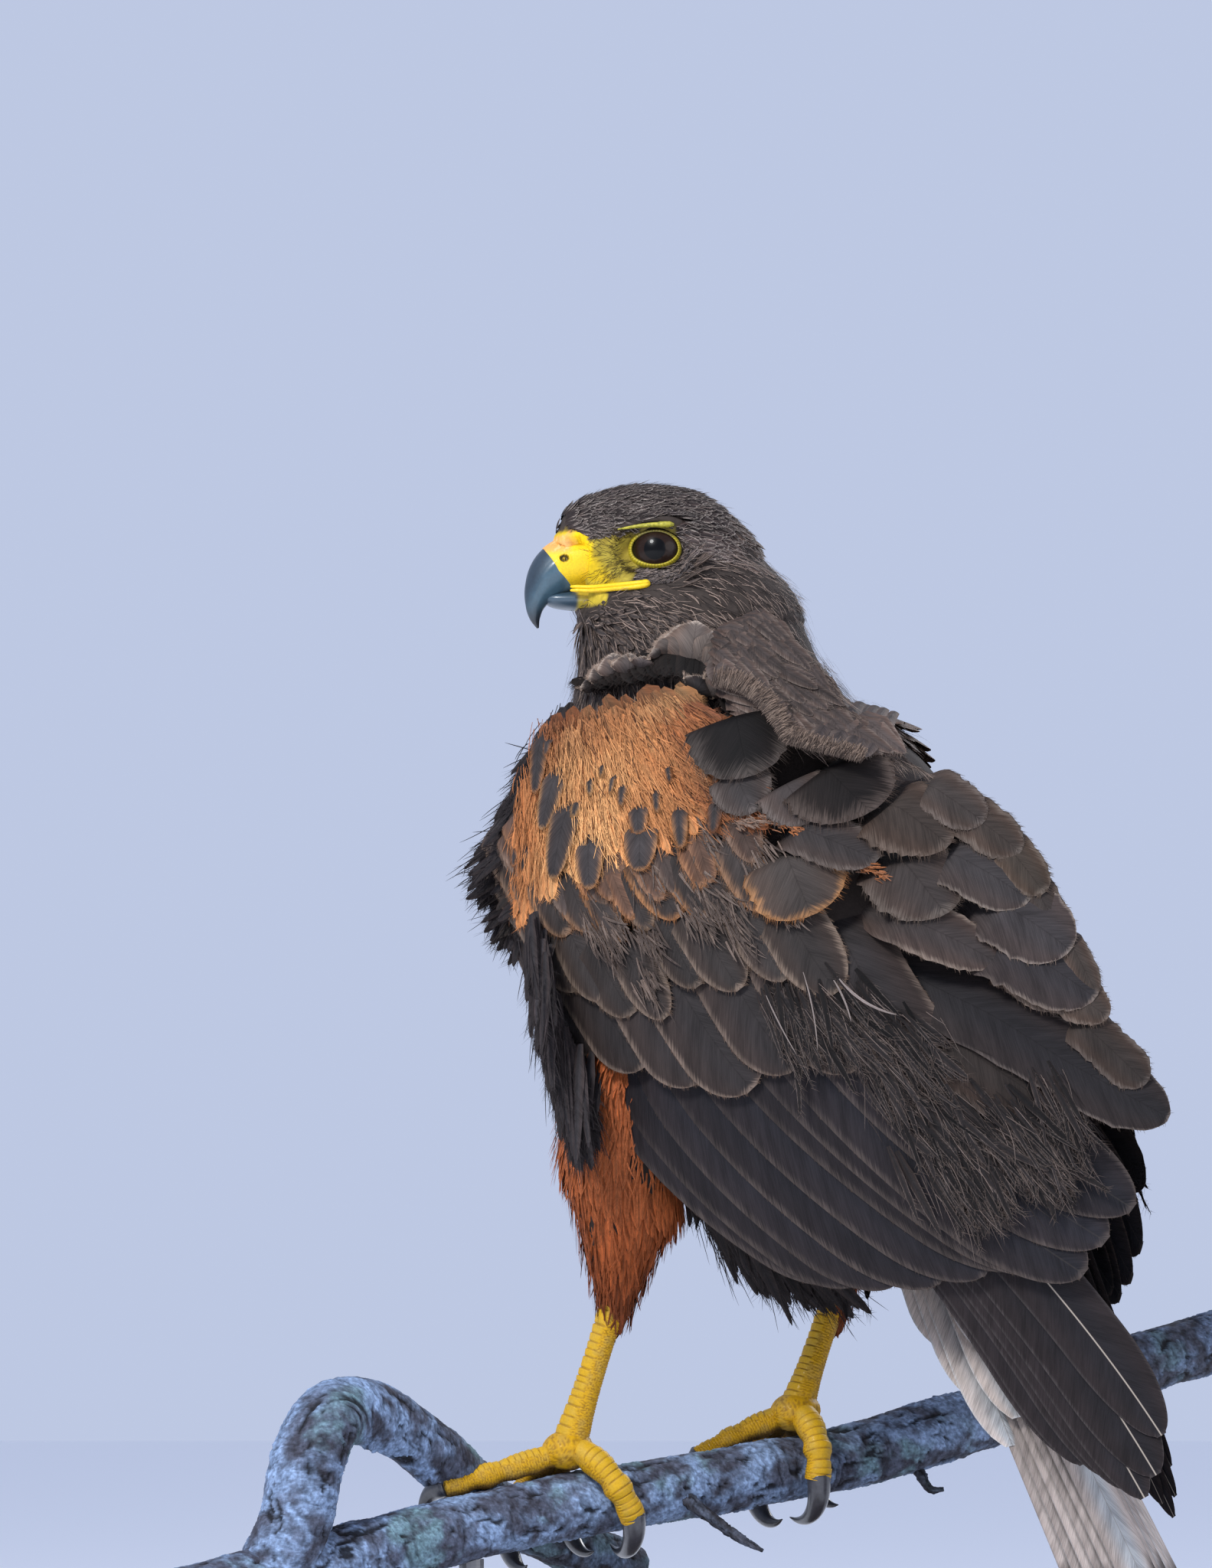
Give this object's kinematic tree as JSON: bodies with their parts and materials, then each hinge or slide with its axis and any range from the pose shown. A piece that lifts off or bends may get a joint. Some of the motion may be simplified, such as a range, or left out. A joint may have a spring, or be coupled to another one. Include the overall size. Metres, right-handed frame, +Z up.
{
  "type": "harris hawk",
  "caption": "Life-size still model of a Harris's hawk gripping a forked branch that two rods hold over a flat display base.",
  "frame": {"origin": "middle of the stand base's underside", "axes": "+Z up; +Y away from the side of the bird that the picture shows, its left; the bird looks along -X"},
  "size_m": [0.3596, 0.2908, 0.4628],
  "materials": {
    "head_plumage": "dark brown feathers",
    "neck_plumage": "dark brown feathers",
    "body_plumage": "dark brown feathers",
    "wing_plumage": "brown and chestnut feathers",
    "tail_plumage": "white-based, dark, white-tipped feathers",
    "thigh_plumage": "chestnut feathers",
    "cere_skin": "waxy yellow skin",
    "leg_skin": "yellow scaled skin",
    "bill_horn": "blue-grey horn",
    "claw": "black horn",
    "eye": "dark brown, wet",
    "bark": "grey bark with lichen",
    "stand_wood": "dark stained wood, satin",
    "stand_metal": "brushed steel"
  },
  "bodies": {
    "root": {"head": "head_plumage", "cere": "cere_skin", "bill_upper": "bill_horn", "bill_lower": "bill_horn", "eye_left": "eye", "eye_right": "eye", "neck": "neck_plumage", "torso": "body_plumage", "wing_left": "wing_plumage", "wing_right": "wing_plumage", "tail": "tail_plumage", "thigh_left": "thigh_plumage", "thigh_right": "thigh_plumage", "tarsus_left": "leg_skin", "tarsus_right": "leg_skin", "foot_left": "leg_skin", "foot_right": "leg_skin", "claw_left_hind": "claw", "claw_left_inner": "claw", "claw_left_middle": "claw", "claw_left_outer": "claw", "claw_right_hind": "claw", "claw_right_inner": "claw", "claw_right_middle": "claw", "claw_right_outer": "claw", "perch": "bark", "stand_base": "stand_wood", "stand_rod_left": "stand_metal", "stand_rod_right": "stand_metal"}
  },
  "joints": []
}
